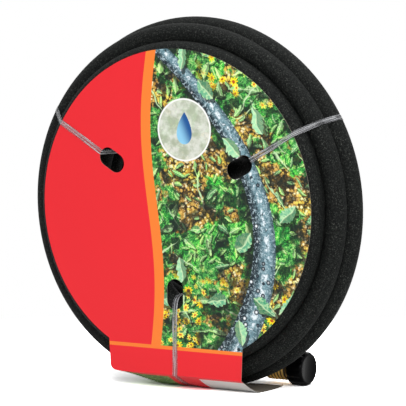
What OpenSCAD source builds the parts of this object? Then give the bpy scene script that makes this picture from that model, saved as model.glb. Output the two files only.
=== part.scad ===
// Soaker hose, wound for the shelf round a printed display card.
// The hose is one unbroken tube in three layers: two inner layers of six turns each
// and a crowned outer layer of five. Each turn lies flat, and steps over to the next
// place in a short crossing, as a hose does when it is wound by machine.
// Millimetres, +Z up, the card faces -Y. X = 0 is the axis of the coil, Y = 0 the
// middle of its depth and Z = 0 the surface that it stands on.

/* [Hose] */
// Outside diameter of the porous rubber hose
hose_d = 22; // [20:0.1:22.2]
// Diameter of the bore through the hose
hose_bore_d = 15.9; // [14:0.1:17]

/* [Coil] */
// Radius of the centre line of the innermost front turn
inner_turn_r = 124.5; // [122:0.1:134]
// Distance from one layer to the next, centre to centre
layer_pitch = 23.3; // [22.8:0.1:25]
// Distance between turns that lie side by side in the inner layers
turn_pitch = 23; // [22.8:0.1:25]
// Drop in radius from each rear inner turn to the next
rear_taper = 3.2; // [0:0.1:5]
// Height of the widest outer turn above the front one
crown_rise = 25.1; // [20:0.1:26]
// Drop in radius from each rear outer turn to the next
crown_fall = 15.25; // [12:0.25:17]
// Distance between the front turns of the outer layer, along the crown
front_chord = 24.6; // [24.4:0.1:27]
// Distance between the rear turns of the outer layer, along the crown
rear_chord = 28; // [27:0.1:30]
// Depth by which the weight of the coil flattens its lowest stretch
squash = 2.4; // [0:0.1:4]
// Depth of the outlet run behind the front turn
outlet_back = 100.7; // [100:0.1:106]

/* [Inlet end] */
// Radius of the bend that leads the hose inwards from the front turn
inlet_bend_r = 66; // [64:0.5:70]
// Radius of the bend that turns the hose to point out of the back of the coil
inlet_turn_r = 65; // [60:0.5:65]
// Straight length of hose that ends in the inlet coupling
inlet_straight = 30; // [28:1:34]

/* [Couplings] */
// Outside diameter of the crimped ferrules, over their ridges
ferrule_d = 29; // [26:0.1:30]
// Length of the crimped ferrules
ferrule_len = 26; // [22:0.5:27]
// Distance from one ferrule ridge to the next
ridge_pitch = 4.2; // [3.6:0.1:4.4]
// Depth of the grooves between the ridges
ridge_depth = 1.4; // [0.5:0.1:1.6]
// Outside diameter of the male garden hose thread
thread_d = 26.98; // [26:0.02:28]
// Advance of the thread in one turn
thread_pitch = 2.209; // [1.8:0.001:2.6]
// Length of the male thread
thread_len = 14.3; // [12:0.1:16]
// Diameter of the water way through both couplings
waterway_d = 12; // [10:0.5:13]
// Outside diameter of the swivel nut
nut_d = 32; // [31:0.5:34]
// Length of the female thread in the swivel nut
nut_thread_len = 9.8; // [8:0.1:12]
// Diameter of the neck on which the swivel nut turns
neck_d = 18; // [17:0.1:19.5]

/* [End cap] */
// Outside diameter of the end cap
cap_d = 38; // [36:0.5:42]
// Length of the end cap
cap_len = 19; // [17:0.5:24]
// Thickness of the closed end of the cap
cap_end_t = 4.4; // [3:0.1:5]
// Width of the chamfer round the closed end
cap_chamfer = 2; // [1:0.1:3]
// Thickness of the sealing washers
washer_t = 3; // [2:0.1:3.5]

/* [Display card] */
// Diameter of the round card
card_d = 349.2; // [340:0.1:356]
// Thickness of the paperboard
card_t = 0.6; // [0.4:0.05:1]
// Width of the tab below the disc, at its top
tab_w = 175.2; // [160:0.1:182]
// Amount by which the tab narrows on each side down to the crease
tab_taper = 1.5; // [0:0.1:4]
// Distance of the crease below the axis of the coil
crease_drop = 186.6; // [184:0.1:190]
// Radius of the rounded corner of the tab
tab_corner_r = 8; // [4:0.5:14]
// Depth of the flap that is folded back under the coil
flap_depth = 87; // [78:0.5:92]
// Distance behind the crease at which the flap reaches its lowest line
flap_landing = 45; // [40:0.5:50]
// Width of the slots for the ties
slot_w = 21; // [16:0.5:24]
// Length of the slots for the ties
slot_len = 34; // [26:0.5:38]

/* [Ties] */
// Width of the plastic ties
tie_w = 6; // [4:0.1:8]
// Thickness of the plastic ties
tie_t = 0.9; // [0.6:0.05:1.4]

/* [Hidden] */

// Clearances: between soft and hard pieces, under the ties, and of running fits.
seat_gap = 0.3;
snug_gap = 0.1;
run_gap = 0.06;

rubber_color = [0.13, 0.13, 0.13];
brass_color = [0.78, 0.62, 0.28];
cap_color = [0.06, 0.06, 0.07];
card_color = [0.93, 0.16, 0.18];
tie_color = [0.75, 0.76, 0.78];

hose_r = hose_d / 2;
cap_r = cap_d / 2;
thread_r = thread_d / 2;
waterway_r = waterway_d / 2;

// ---------------------------------------------------------------- winding of the coil
// Each turn holds one place [radius, depth behind the card]. The lower layer is wound
// from front to back, the upper one back to the front, and the outer one to the rear.
columns = 6;
outer_turns = 5;
crown_turn = 2;
first_y = hose_r + seat_gap;

function inner_r(c) = inner_turn_r - rear_taper * max(0, c - crown_turn);
lower_layer = [for (c = [0:columns - 1]) [inner_r(c), first_y + turn_pitch * c]];
upper_layer = [for (c = [columns - 1:-1:0]) [inner_r(c) + layer_pitch, first_y + turn_pitch * c]];

widest_turn_r = inner_turn_r + 2 * layer_pitch + crown_rise;
function outer_r(c) = c < crown_turn
    ? widest_turn_r - crown_rise * pow((crown_turn - c) / crown_turn, 2)
    : widest_turn_r - crown_fall * (c - crown_turn);
function outer_y(c) = c == 0
    ? first_y
    : outer_y(c - 1) + sqrt(pow(c > crown_turn ? rear_chord : front_chord, 2)
                            - pow(outer_r(c) - outer_r(c - 1), 2));
outer_layer = [for (c = [0:outer_turns - 1]) [outer_r(c), outer_y(c)]];
wound_places = concat(lower_layer, upper_layer, outer_layer);

// Angles round the axis are counted from +X towards +Z and run on from turn to turn.
// A crossing is [first angle, sweep]. Crossings of the outer layer lie at the bottom,
// and each layer crosses clear of the climb that leads out of it.
lower_crossing = [455, 95];
rear_climb = [392, 60];
upper_crossing = [302, 88];
front_climb = [252, 44];
outer_crossing = [250, 40];
outlet_crossing = [195, 67];
function crossing(k) =
    k < columns - 1 ? lower_crossing :
    k == columns - 1 ? rear_climb :
    k < 2 * columns - 1 ? upper_crossing :
    k == 2 * columns - 1 ? front_climb :
    k < len(wound_places) - 1 ? outer_crossing : outlet_crossing;

function ease(x) = let (t = min(1, max(0, x))) t * t * (3 - 2 * t);
function add(v) = [for (e = v) 1] * v;
squash_reach = 45;
function dip(a) =
    let (d = min(1, abs(a - 360 * floor(a / 360) - 270) / squash_reach))
    squash * (1 + cos(180 * d)) / 2;
// Radius and depth of the hose at the running angle a, for a list of places.
function place(a, places) =
    places[0] - [dip(a), 0]
    + add([for (k = [0:len(places) - 2])
          (places[k + 1] - places[k]) * ease((a - 360 * k - crossing(k)[0]) / crossing(k)[1])]);
function spot(a, places) =
    let (p = place(a, places)) [p[0] * cos(a), p[1], p[0] * sin(a)];

// The coil stands on the tie and the flap under it, and its reach sets its height.
last_turn = len(wound_places) - 1;
coil_reach = hose_r + max([for (a = [240:2:300]) for (k = [last_turn - 4:last_turn])
                           -spot(a + 360 * k, wound_places)[2]]);
axis_z = coil_reach + seat_gap + card_t + snug_gap + tie_t;
outlet_y = first_y + outlet_back;
outlet_place = [axis_z - cap_r + squash, outlet_y];
places = concat(wound_places, [outlet_place]);

ring_step = 15;
coil_from = 320;
coil_to = 360 * (len(places) - 2) + 270;
stub = hose_d;
start_spot = spot(coil_from, places);
end_spot = spot(coil_to, places);
start_way = [sin(coil_from), 0, -cos(coil_from)];
end_way = [1, 0, 0];
inlet_joint = start_spot + stub * start_way;
coil_route = concat(
    [inlet_joint, start_spot],
    [for (a = [coil_from + 10:ring_step:coil_to]) spot(a, places)],
    [end_spot + stub * end_way]);

// The depth of the whole object, from the front of the ties to their back.
front_face = -card_t - snug_gap - tie_t;
rear_face = first_y + turn_pitch * (columns - 1) + hose_r + snug_gap + tie_t;
mid_y = (front_face + rear_face) / 2;

// ---------------------------------------------------------------- inlet route
// From the coil the hose bends back on itself through an arc in the plane of the front
// turn, and then turns through a right angle to point out of the back of the coil.
inlet_axis = [40, 40];
inlet_heading = 180 + (coil_from - 270);
bend_centre = inlet_joint + inlet_bend_r * [sin(inlet_heading), 0, -cos(inlet_heading)];
to_axis = [inlet_axis[0] - bend_centre[0], inlet_axis[1] - bend_centre[2]];
exit_heading = acos(inlet_bend_r / norm(to_axis)) - atan2(to_axis[0], to_axis[1]);
exit_way = [cos(exit_heading), 0, sin(exit_heading)];
turn_lead = sqrt(pow(norm(to_axis), 2) - pow(inlet_bend_r, 2)) - inlet_turn_r;
bend_steps = 9;
function bend_spot(u) =
    let (h = inlet_heading - u * (inlet_heading - exit_heading))
    bend_centre + inlet_bend_r * [-sin(h), 0, cos(h)];
function turn_spot(b) =
    bend_spot(1) + turn_lead * exit_way
    + inlet_turn_r * (sin(b) * exit_way + (1 - cos(b)) * [0, 1, 0]);
inlet_foot = turn_spot(90);
inlet_lead = 4;
inlet_route = concat(
    [inlet_joint, inlet_joint + 2 * start_way],
    [for (i = [1:bend_steps]) bend_spot(i / bend_steps)],
    [for (b = [15:15:90]) turn_spot(b)],
    [inlet_foot + [0, inlet_lead, 0]]);

// ---------------------------------------------------------------- outlet and inlet stack
ferrule_t = 1.2;
ferrule_bore_r = hose_r + run_gap;
tail_r = hose_bore_d / 2 - run_gap;
tail_len = 22;
outlet_mouth = 53;
outlet_hose_end = outlet_mouth + ferrule_len;
flange_x = outlet_hose_end + ferrule_t + run_gap;
flange_t = 2;
shoulder_len = 0.5;
thread_x = flange_x + flange_t + shoulder_len;
stem_end = thread_x + thread_len;
cap_washer_x = stem_end + run_gap;
cap_bore_end = cap_washer_x + washer_t + run_gap;
cap_end = cap_bore_end + cap_end_t;
cap_rim = cap_end - cap_len;

inlet_hose_end = inlet_straight;
tail_collar_z = inlet_hose_end + ferrule_t + run_gap;
tail_collar_t = 2;
neck_len = 6;
seat_flange_z = tail_collar_z + tail_collar_t + neck_len;
seat_flange_t = 2.5;
seat_flange_r = thread_r - 0.9;
restrictor_t = 2;
restrictor_r = waterway_r + 1.6;
inlet_washer_z = seat_flange_z + seat_flange_t + run_gap;
nut_lip_t = 3;
nut_foot = seat_flange_z - run_gap - nut_lip_t;
nut_relief_r = thread_r + 0.45;
nut_thread_z = inlet_washer_z + washer_t + run_gap;
nut_mouth = nut_thread_z + nut_thread_len;
female_r = thread_r + 0.1;

module set_down() { translate([0, -mid_y, axis_z]) children(); }
module at_outlet() { translate([0, outlet_y, cap_r - axis_z]) rotate([0, 90, 0]) children(); }
module at_inlet() { translate(inlet_foot) rotate([-90, 0, 0]) children(); }

// ---------------------------------------------------------------- swept tube
function unit(v) = v / norm(v);
function way(route, i) =
    unit(route[min(i + 1, len(route) - 1)] - route[max(i - 1, 0)]);
function end_aware_way(route, i) =
    i <= 1 ? unit(route[1] - route[0]) :
    i >= len(route) - 2 ? unit(route[len(route) - 1] - route[len(route) - 2]) :
    way(route, i);
function ring(centre, t, r, sides) =
    let (v = t[1] > 0.999 ? -exit_way : unit([0, 1, 0] - t[1] * t), u = cross(v, t))
    [for (j = [0:sides - 1]) centre + r * (cos(360 * j / sides) * u + sin(360 * j / sides) * v)];

// Tube of radius r along a route, its rings square to the route, all faces triangles.
module swept_tube(route, r, sides) {
    last = len(route) - 1;
    points = [for (i = [0:last]) each ring(route[i], end_aware_way(route, i), r, sides)];
    walls = [for (i = [0:last - 1]) for (j = [0:sides - 1])
             let (a = i * sides + j, b = i * sides + (j + 1) % sides)
             each [[a, b + sides, b], [a, a + sides, b + sides]]];
    near_end = [for (j = [1:sides - 2]) [0, j, j + 1]];
    far_end = [for (j = [1:sides - 2]) [last * sides, last * sides + j + 1, last * sides + j]];
    polyhedron(points, concat(walls, near_end, far_end));
}

// Least gap of the hose to itself, measured between points along its centre line.
gap_step = 4;
turn_points = 360 / gap_step;
centre_points = [for (a = [coil_from:gap_step:coil_to]) spot(a, places)];
least_gap = min([for (i = [0:len(centre_points) - 1])
                 for (m = [1:len(places)]) for (d = [-2:2])
                 let (j = i + m * turn_points + d)
                 if (j < len(centre_points)) norm(centre_points[i] - centre_points[j])]) - hose_d;
function route_length(r) = add([for (i = [1:len(r) - 1]) [norm(r[i] - r[i - 1])]])[0];
hose_length = route_length(centre_points) + route_length(inlet_route) + stub
    + inlet_straight - inlet_lead + outlet_hose_end;
echo(least_gap_mm = least_gap, hose_length_mm = hose_length, axis_height_mm = axis_z);

// ---------------------------------------------------------------- hose
module hose_coil() {
    color(rubber_color) set_down() swept_tube(coil_route, hose_r, 6);
}

module hose_inlet_end() {
    color(rubber_color) set_down() union() {
        swept_tube(inlet_route, hose_r - run_gap, 12);
        at_inlet() difference() {
            translate([0, 0, 2]) cylinder(r = hose_r, h = inlet_straight - 2);
            translate([0, 0, inlet_lead + 1]) cylinder(d = hose_bore_d, h = inlet_straight);
        }
    }
}

module hose_outlet_end() {
    color(rubber_color) set_down() at_outlet() translate([0, 0, stub]) difference() {
        cylinder(r = hose_r, h = outlet_hose_end - stub);
        translate([0, 0, -1]) cylinder(d = hose_bore_d, h = outlet_hose_end);
    }
}

// ---------------------------------------------------------------- couplings
// Outline of a ridged ferrule, from its open mouth at 0 to its inturned lip.
ridges = floor((ferrule_len - 1) / ridge_pitch);
function ridge_outline(r) = [for (i = [0:ridges - 1]) each [
    [r - ridge_depth, 0.6 + i * ridge_pitch],
    [r, 0.6 + (i + 0.3) * ridge_pitch],
    [r, 0.6 + (i + 0.6) * ridge_pitch],
    [r - ridge_depth, 0.6 + (i + 0.9) * ridge_pitch]]];
module ferrule() {
    r = ferrule_d / 2;
    rotate_extrude($fn = 64) polygon(concat(
        [[ferrule_bore_r, 0], [r - ridge_depth - 0.3, 0]],
        ridge_outline(r),
        [[r - ridge_depth, ferrule_len], [r - ridge_depth - 0.6, ferrule_len + ferrule_t],
         [tail_r + run_gap, ferrule_len + ferrule_t], [tail_r + run_gap, ferrule_len + run_gap],
         [ferrule_bore_r, ferrule_len + run_gap]]));
}

module inlet_ferrule() {
    color(brass_color) set_down() at_inlet()
        translate([0, 0, inlet_hose_end - ferrule_len]) ferrule();
}

module outlet_ferrule() {
    color(brass_color) set_down() at_outlet() translate([0, 0, outlet_mouth]) ferrule();
}

module inlet_tailpiece() {
    color(brass_color) set_down() at_inlet() difference() {
        union() {
            translate([0, 0, inlet_hose_end - tail_len])
                cylinder(r = tail_r, h = tail_len + ferrule_t + run_gap + 0.5);
            translate([0, 0, tail_collar_z]) cylinder(r = neck_d / 2 + 2, h = tail_collar_t);
            translate([0, 0, tail_collar_z]) cylinder(d = neck_d, h = tail_collar_t + neck_len + 0.5);
            translate([0, 0, seat_flange_z]) cylinder(r = seat_flange_r, h = seat_flange_t);
        }
        translate([0, 0, inlet_hose_end - tail_len - 1])
            cylinder(r = waterway_r, h = tail_len + 30);
        translate([0, 0, seat_flange_z + seat_flange_t - restrictor_t - run_gap])
            cylinder(r = restrictor_r + run_gap, h = restrictor_t + 1);
    }
}

// Ring of grip flutes cut into a round piece of radius r.
module fluted_disc(r, flutes, flute_r, bite) {
    difference() {
        circle(r = r, $fn = 96);
        for (i = [0:flutes - 1]) rotate(360 * (i + 0.5) / flutes)
            translate([r + flute_r - bite, 0]) circle(r = flute_r, $fn = 32);
    }
}

module inlet_swivel_nut() {
    grip_len = nut_mouth - nut_foot;
    nut_r = nut_d / 2;
    color(brass_color) set_down() at_inlet() difference() {
        union() {
            translate([0, 0, nut_foot]) cylinder(r = nut_r - 1.6, h = grip_len);
            translate([0, 0, nut_foot + 3]) linear_extrude(height = grip_len - 5)
                fluted_disc(nut_r, 20, 1.6, 0.9);
        }
        translate([0, 0, nut_foot - 1]) cylinder(d = neck_d + 2 * run_gap, h = grip_len + 2);
        translate([0, 0, nut_foot + nut_lip_t]) cylinder(r = nut_relief_r, h = nut_thread_z - nut_foot - nut_lip_t);
        translate([0, 0, nut_thread_z - 0.5]) cylinder(r = female_r, h = nut_thread_len + 1);
    }
}

module washer(outer_r, inner_r) {
    difference() {
        cylinder(r = outer_r, h = washer_t);
        translate([0, 0, -1]) cylinder(r = inner_r, h = washer_t + 2);
    }
}

module inlet_washer() {
    color(cap_color) set_down() at_inlet() translate([0, 0, inlet_washer_z])
        washer(thread_r + 0.1, waterway_r + 1);
}

module flow_restrictor() {
    color("white") set_down() at_inlet()
        translate([0, 0, seat_flange_z + seat_flange_t - restrictor_t]) difference() {
            cylinder(r = restrictor_r, h = restrictor_t);
            translate([0, 0, -1]) cylinder(r = 1.2, h = restrictor_t + 2);
        }
}

module outlet_thread_stem() {
    color(brass_color) set_down() at_outlet() difference() {
        union() {
            translate([0, 0, outlet_hose_end - tail_len])
                cylinder(r = tail_r, h = flange_x - outlet_hose_end + tail_len + 0.5);
            translate([0, 0, flange_x]) cylinder(r = thread_r - 0.4, h = flange_t);
            translate([0, 0, flange_x + flange_t - 0.5])
                cylinder(r = thread_r - 1.2, h = shoulder_len + 1);
            translate([0, 0, thread_x]) cylinder(r = thread_r, h = thread_len);
        }
        translate([0, 0, outlet_hose_end - tail_len - 1])
            cylinder(r = waterway_r, h = stem_end - outlet_hose_end + tail_len + 2);
    }
}

module end_cap() {
    color(cap_color) set_down() at_outlet() difference() {
        intersection() {
            translate([0, 0, cap_rim]) linear_extrude(height = cap_len)
                fluted_disc(cap_r, 16, 4.5, 0.7);
            translate([0, 0, cap_rim]) rotate_extrude($fn = 96) polygon([
                [0, 0], [cap_r - 1, 0], [cap_r + 0.5, 1.5], [cap_r + 0.5, cap_len - cap_chamfer - 0.5],
                [cap_r - cap_chamfer, cap_len], [0, cap_len]]);
        }
        translate([0, 0, cap_rim - 1])
            cylinder(r = thread_r + run_gap, h = cap_bore_end - cap_rim + 1);
    }
}

module end_cap_washer() {
    color(rubber_color) set_down() at_outlet() translate([0, 0, cap_washer_x])
        washer(thread_r - 0.1, waterway_r + 1);
}

// ---------------------------------------------------------------- display card
slot_outer_r = inner_turn_r - hose_r - snug_gap;
slot_angles = [30, 150, 270];
tab_top = sqrt(pow(card_d / 2, 2) - pow(tab_w / 2, 2));
tab_foot_w = tab_w - 2 * tab_taper;

module slot_outline() {
    hull() {
        translate([slot_outer_r - slot_w / 2, 0]) circle(d = slot_w, $fn = 48);
        translate([slot_outer_r - slot_len + slot_w / 2, 0]) circle(d = slot_w, $fn = 48);
    }
}

module card_outline() {
    difference() {
        union() {
            circle(d = card_d, $fn = 180);
            polygon([[-tab_w / 2, -tab_top + 1], [tab_w / 2, -tab_top + 1],
                     [tab_foot_w / 2, -crease_drop], [tab_corner_r - tab_foot_w / 2, -crease_drop],
                     for (a = [255:-15:180])
                         [tab_corner_r - tab_foot_w / 2 + tab_corner_r * cos(a),
                          tab_corner_r - crease_drop + tab_corner_r * sin(a)]]);
        }
        for (a = slot_angles) rotate(a) slot_outline();
    }
}

// Height of the underside of the flap above the floor, x across and y behind the crease.
// On its left it lies against the round of the coil, and it rides over the tie.
coil_round_r = widest_turn_r + hose_r;
over_tie = tie_t + snug_gap;
function flap_floor(x) =
    max(x < 0 ? axis_z - sqrt(pow(coil_round_r, 2) - x * x) - seat_gap - card_t : 0,
        over_tie * (1 - ease((abs(x) - tie_w / 2 - 1) / 10)), 0);
crease_z = axis_z - crease_drop;
flap_tip_lift = 1.8;
flap_flat = 18;
function flap_under(x, y) =
    y < flap_landing
    ? flap_floor(x) + (crease_z - flap_floor(x)) * (1 - sin(90 * max(0, y) / flap_landing))
    : flap_floor(x) + flap_tip_lift * ease((x - 20) / 50)
      * pow(max(0, y - flap_landing - flap_flat) / (flap_depth - flap_landing - flap_flat), 2);
flap_left = tab_corner_r - tab_foot_w / 2;
flap_right = tab_foot_w / 2;
flap_xs = concat([for (i = [0:4]) flap_left + i * (-14 - flap_left) / 5],
                 [-14, -9, -4, 4, 9, 14], [for (i = [1:4]) 14 + i * (flap_right - 14) / 4]);
flap_ys = concat([-card_t], [for (i = [1:5]) i * flap_landing / 5],
                 [for (i = [0:2]) flap_landing + flap_flat
                  + i * (flap_depth - flap_landing - flap_flat) / 2]);

// Thin sheet over a grid of points, thickness t upwards.
module sheet(grid, t) {
    rows = len(grid);
    cols = len(grid[0]);
    n = rows * cols;
    points = concat([for (row = grid) each row], [for (row = grid) for (p = row) p + [0, 0, t]]);
    skins = [for (i = [0:rows - 2]) for (j = [0:cols - 2])
             let (a = i * cols + j, b = a + 1, c = a + cols, d = c + 1)
             each [[a, d, b], [a, c, d], [n + a, n + b, n + d], [n + a, n + d, n + c]]];
    rim = concat([for (j = [0:cols - 2]) j], [for (i = [0:rows - 2]) i * cols + cols - 1],
                 [for (j = [cols - 1:-1:1]) (rows - 1) * cols + j],
                 [for (i = [rows - 1:-1:1]) i * cols]);
    walls = [for (k = [0:len(rim) - 1])
             let (a = rim[k], b = rim[(k + 1) % len(rim)])
             each [[a, n + b, n + a], [a, b, n + b]]];
    polyhedron(points, concat(skins, walls));
}

module display_card() {
    color(card_color) translate([0, -mid_y, 0]) union() {
        translate([0, 0, axis_z]) rotate([90, 0, 0]) linear_extrude(height = card_t) card_outline();
        sheet([for (x = flap_xs) [for (y = flap_ys) [x, y, flap_under(x, y)]]], card_t);
    }
}

// ---------------------------------------------------------------- ties
// The places of all the turns that a tie at angle a holds, at both edges of the tie.
tie_half_sweep = 1.4;
function held_turns(a) = [for (k = [0:len(places)]) for (s = [-1:1])
    let (run = a + 360 * k + s * tie_half_sweep)
    if (run >= coil_from && run <= coil_to + 2) place(min(run, coil_to), places)];
function held_inlet() = [for (x = [-tie_w / 2, tie_w / 2])
    [hose_r + sqrt(pow(inlet_bend_r - hose_r, 2) - pow(x - bend_centre[0], 2)) - bend_centre[2],
     first_y]];

// Closed strap round a list of round turns and a list of points of the card.
module tie_outline(turns, card_points) {
    module held() {
        hull() {
            for (t = turns) translate(t) circle(r = hose_r + snug_gap, $fn = 24);
            for (p = card_points) translate(p) circle(r = snug_gap, $fn = 8);
        }
    }
    difference() {
        offset(r = tie_t, $fn = 24) held();
        held();
    }
}

module tie(a, turns, card_points) {
    rotate([0, -a, 0]) linear_extrude(height = tie_w, center = true)
        tie_outline(turns, card_points);
}

slot_lip = [slot_outer_r - seat_gap, -card_t];
card_edge = [card_d / 2, -card_t];

module tie_left() {
    color(tie_color) set_down() tie(150, held_turns(150), [slot_lip, card_edge]);
}

module tie_right() {
    color(tie_color) set_down() tie(30, held_turns(30), [slot_lip, card_edge]);
}

module tie_bottom() {
    flap_points = [for (y = flap_ys) [axis_z - flap_under(0, y), y]];
    color(tie_color) set_down() tie(270, concat(held_turns(270), held_inlet()),
                                    concat([slot_lip, [crease_drop, -card_t]], flap_points));
}

hose_coil();
hose_inlet_end();
hose_outlet_end();
inlet_ferrule();
inlet_tailpiece();
inlet_swivel_nut();
inlet_washer();
flow_restrictor();
outlet_ferrule();
outlet_thread_stem();
end_cap();
end_cap_washer();
display_card();
tie_left();
tie_right();
tie_bottom();
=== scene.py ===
"""Soaker hose, wound for the shelf round a printed display card.

Shapes are worked out in millimetres and turned to metres where they enter Blender.
Materials read Object coordinates, so the lengths in them are in metres.
"""
import math

import bpy
import numpy as np
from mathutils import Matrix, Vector


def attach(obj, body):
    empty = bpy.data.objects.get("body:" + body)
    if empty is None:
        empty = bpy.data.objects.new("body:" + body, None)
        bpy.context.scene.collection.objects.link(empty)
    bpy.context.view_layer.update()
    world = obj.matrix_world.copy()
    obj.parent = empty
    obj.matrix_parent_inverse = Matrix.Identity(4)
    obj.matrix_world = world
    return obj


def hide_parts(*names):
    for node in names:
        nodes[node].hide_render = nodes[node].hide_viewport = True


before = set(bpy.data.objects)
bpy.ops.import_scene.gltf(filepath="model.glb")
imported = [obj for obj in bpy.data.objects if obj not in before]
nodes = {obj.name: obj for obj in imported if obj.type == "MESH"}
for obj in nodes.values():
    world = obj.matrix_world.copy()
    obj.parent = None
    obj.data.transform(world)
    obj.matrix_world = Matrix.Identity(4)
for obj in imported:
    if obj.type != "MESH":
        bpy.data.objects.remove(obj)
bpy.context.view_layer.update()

MM = 0.001
TURN = 2 * math.pi

# Sizes that several pieces share, as in the part's source. Depths are counted from the
# card's back, and AXIS_Z and MID_Y are the height of the coil's axis and its middle depth.
AXIS_Z = 204.071
MID_Y = 68.35
HOSE_R = 11.0
HOSE_BORE_R = 7.95
OUTLET_Y, OUTLET_Z = 112.0, 19.0
CARD_R, CARD_T = 174.6, 0.6


# ------------------------------------------------------------------ camera
def place_camera():
    """Camera far off, with a long lens, that looks just past the middle of the card.

    Its distance and what it aims at are given in card radii.
    """
    azimuth, elevation = math.radians(32.64), math.radians(5.8)
    aim_right, aim_up, distance = 0.176, 0.027, 25.25
    image_w, focal_px, sensor = 406, 4010, 36.0
    back = np.array([math.sin(azimuth) * math.cos(elevation),
                     -math.cos(azimuth) * math.cos(elevation),
                     math.sin(elevation)])
    right = np.array([math.cos(azimuth), math.sin(azimuth), 0.0])
    up = np.cross(back, right)
    card_middle = np.array([0.0, -CARD_T - MID_Y, AXIS_Z])
    target = card_middle + CARD_R * (aim_right * right + aim_up * up)
    data = bpy.data.cameras.new("camera")
    data.sensor_width = sensor
    data.lens = focal_px / image_w * sensor
    data.clip_start, data.clip_end = 0.1, 60.0
    camera = bpy.data.objects.new("camera", data)
    camera.location = Vector((target + back * distance * CARD_R) * MM)
    camera.rotation_euler = (-Vector(back)).to_track_quat("-Z", "Y").to_euler()
    bpy.context.scene.collection.objects.link(camera)
    bpy.context.scene.camera = camera


place_camera()


# ------------------------------------------------------------------ meshes
def mesh_piece(name, points_mm, faces, smooth=True):
    """Object at the origin from points in millimetres in the shared frame."""
    mesh = bpy.data.meshes.new(name)
    mesh.from_pydata((np.asarray(points_mm) * MM).tolist(), [], faces)
    mesh.validate()
    mesh.update()
    if smooth:
        mesh.shade_smooth()
    piece = bpy.data.objects.new(name, mesh)
    bpy.context.scene.collection.objects.link(piece)
    return piece


def grid_faces(rows, columns, close_rows=False):
    """Quads between neighbouring points of a grid, row by row, each row closed to a ring."""
    i = np.arange(rows if close_rows else rows - 1)
    a, b = np.meshgrid(i, np.arange(columns), indexing="ij")
    a2, b2 = (a + 1) % rows, (b + 1) % columns
    return np.stack([a * columns + b, a * columns + b2, a2 * columns + b2, a2 * columns + b],
                    axis=-1).reshape(-1, 4)


def ease(x):
    """3x^2 - 2x^3 between 0 and 1, level outside."""
    t = np.clip(x, 0, 1)
    return t * t * (3 - 2 * t)


# ------------------------------------------------------------------ the hose
HOSE_STEP = 7.0
SQUASH = 2.4
COIL_FROM = 320.0
# Where each turn starts to cross to the next place, and over how many degrees.
CROSSINGS = np.array([(455, 95)] * 5 + [(392, 60)] + [(302, 88)] * 5 + [(252, 44)]
                     + [(250, 40)] * 4 + [(195, 67)], float)


def wound_places():
    """[radius, depth] of each turn: two inner layers of six turns and a crowned one of five.

    The inner layers taper after their third turn. The last place is the outlet run's.
    """
    inner_r, taper, layer_pitch = 124.5, 3.2, 23.3
    turn_pitch, first_y = 23.0, 11.3
    columns = np.arange(6)
    lower = np.stack([inner_r - taper * np.maximum(0, columns - 2),
                      first_y + turn_pitch * columns], 1)
    upper = lower[::-1] + [layer_pitch, 0]
    rise, fall = 25.1, 15.25
    widest = inner_r + 2 * layer_pitch + rise
    outer_r = np.array([widest - rise, widest - rise / 4, widest, widest - fall, widest - 2 * fall])
    chords = np.array([24.6, 24.6, 28.0, 28.0])
    outer_y = first_y + np.concatenate([[0], np.cumsum(np.sqrt(chords**2 - np.diff(outer_r)**2))])
    outlet = [[AXIS_Z - OUTLET_Z + SQUASH, OUTLET_Y]]
    return np.concatenate([lower, upper, np.stack([outer_r, outer_y], 1), outlet])


def coil_line(angle, places):
    """Centre of the hose at a running angle in degrees, round the coil's axis.

    Radius and depth are the first place's, plus each later step times ease() of how far
    the angle is through that turn's crossing. Near the bottom the radius dips by half of
    SQUASH times 1 + cos.
    """
    steps = np.diff(places, axis=0)
    turn = np.arange(len(steps))
    part = ease((angle[:, None] - 360 * turn - CROSSINGS[:, 0]) / CROSSINGS[:, 1])
    radius, depth = (places[0] + part @ steps).T
    off = np.minimum(1, np.abs(angle % 360 - 270) / 45)
    radius = radius - SQUASH * (1 + np.cos(np.pi * off)) / 2
    a = np.radians(angle)
    return np.stack([radius * np.cos(a), depth, radius * np.sin(a)], 1)


def hose_line():
    """Centre line of the whole hose, from its inlet end to its outlet end.

    It comes in at the back, turns through a right angle, bends round in the plane of the
    front turn and runs into the coil, then round the coil, and straight out at the bottom.
    """
    places = wound_places()
    coil_to = 360.0 * (len(places) - 2) + 270
    coil = coil_line(np.arange(COIL_FROM, coil_to + 0.01, 0.5), places)
    a = math.radians(COIL_FROM)
    start_way = np.array([math.sin(a), 0, -math.cos(a)])
    joint = coil[0] + 2 * HOSE_R * start_way
    heading = math.radians(COIL_FROM - 90)
    bend_r, turn_r, inlet_off = 66.0, 65.0, 40.0
    inlet_run, outlet_run = 30.0, 79.0
    centre = joint + bend_r * np.array([math.sin(heading), 0, -math.cos(heading)])
    off_x, off_z = inlet_off - centre[0], inlet_off - centre[2]
    reach = math.hypot(off_x, off_z)
    leave = math.acos(bend_r / reach) - math.atan2(off_x, off_z)
    leave_way = np.array([math.cos(leave), 0, math.sin(leave)])
    h = np.linspace(leave, heading, 300)
    bend = centre + bend_r * np.stack([-np.sin(h), 0 * h, np.cos(h)], 1)
    lead = math.sqrt(reach**2 - bend_r**2) - turn_r
    b = np.linspace(math.pi / 2, 0, 200)[:, None]
    turn = bend[0] + lead * leave_way \
        + turn_r * (np.sin(b) * leave_way + (1 - np.cos(b)) * [0, 1, 0])
    foot = turn[0]
    straight = foot + np.linspace(inlet_run, 0.5, 60)[:, None] * [0, 1, 0]
    lead_in = joint - np.linspace(1, 21, 40)[:, None] * start_way
    outlet = coil[-1] + np.linspace(0.5, outlet_run, 158)[:, None] * [1, 0, 0]
    line = np.concatenate([straight, turn, bend, lead_in, coil, outlet])
    coil_middle = np.array([0, -MID_Y, AXIS_Z])
    return line + coil_middle, foot + coil_middle


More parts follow.
